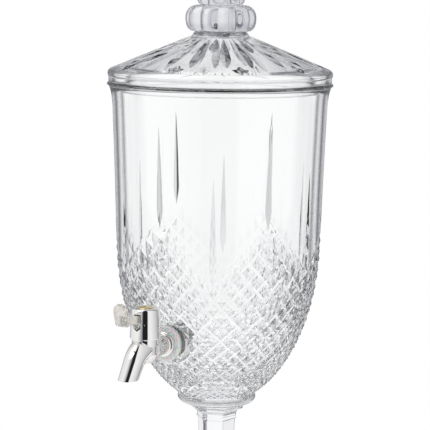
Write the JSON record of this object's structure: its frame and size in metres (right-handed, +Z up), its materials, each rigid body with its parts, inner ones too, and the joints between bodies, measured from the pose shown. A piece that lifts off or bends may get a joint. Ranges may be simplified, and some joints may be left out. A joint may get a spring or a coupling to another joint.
{
  "type": "glass beverage dispenser",
  "caption": "Footed cut-glass drink dispenser with a lift-off lid, a lobed finial and a plated lever tap near the foot of its bowl.",
  "frame": {"origin": "middle of the foot's underside, on the surface that it stands on", "axes": "+Z up along the vessel's axis, -Y from the axis towards the tap, +X to the tap's left hand when facing it from behind"},
  "size_m": [0.2097, 0.2634, 0.5135],
  "materials": {
    "cut_glass": "fire-polished clear glass with cut facets",
    "pressed_glass": "pressed clear glass",
    "lid_glass": "fire-polished clear glass with cut petals",
    "finial_glass": "pressed clear glass",
    "chrome_plate": "bright chrome plate",
    "nut_plate": "chrome plate",
    "gold_tone": "polished gold-tone plate",
    "clear_acrylic": "moulded clear acrylic",
    "stainless": "drawn stainless wire",
    "acetal": "moulded white plastic",
    "silicone": "translucent moulded silicone"
  },
  "bodies": {
    "stand": {"vessel": "cut_glass", "pedestal": "pressed_glass", "tap_body": "chrome_plate", "tap_bonnet": "chrome_plate", "bonnet_disc": "gold_tone", "lever_pin": "stainless", "return_spring": "stainless", "stem_guide": "acetal", "stem_seal": "silicone", "outer_washer": "silicone", "inner_washer": "silicone", "shank_nut": "nut_plate"},
    "lid_top": {"lid": "lid_glass", "lid_finial": "finial_glass"},
    "tap_lever": {"lever": "clear_acrylic"},
    "tap_stem": {"valve_stem": "acetal", "seat_cup": "silicone"}
  },
  "joints": [
    {"name": "lid_lift", "type": "slide", "parent": "stand", "child": "lid_top", "axis": [0, 0, 1], "range_m": [0, 0.15]},
    {"name": "lever_press", "type": "hinge", "parent": "stand", "child": "tap_lever", "pos_m": [0, -0.12727, 0.2078], "axis": [1, 0, 0], "range_deg": [0, 20], "stiffness_Nm_per_rad": 0.15, "springref_deg": -8.59},
    {"name": "stem_lift", "type": "slide", "parent": "stand", "child": "tap_stem", "axis": [0, 0, 1], "range_m": [0, 0.0039], "deforming": ["return_spring"]}
  ],
  "couplings": [
    {"joint": "stem_lift", "follows": "lever_press", "m_per_rad": 0.0111}
  ]
}
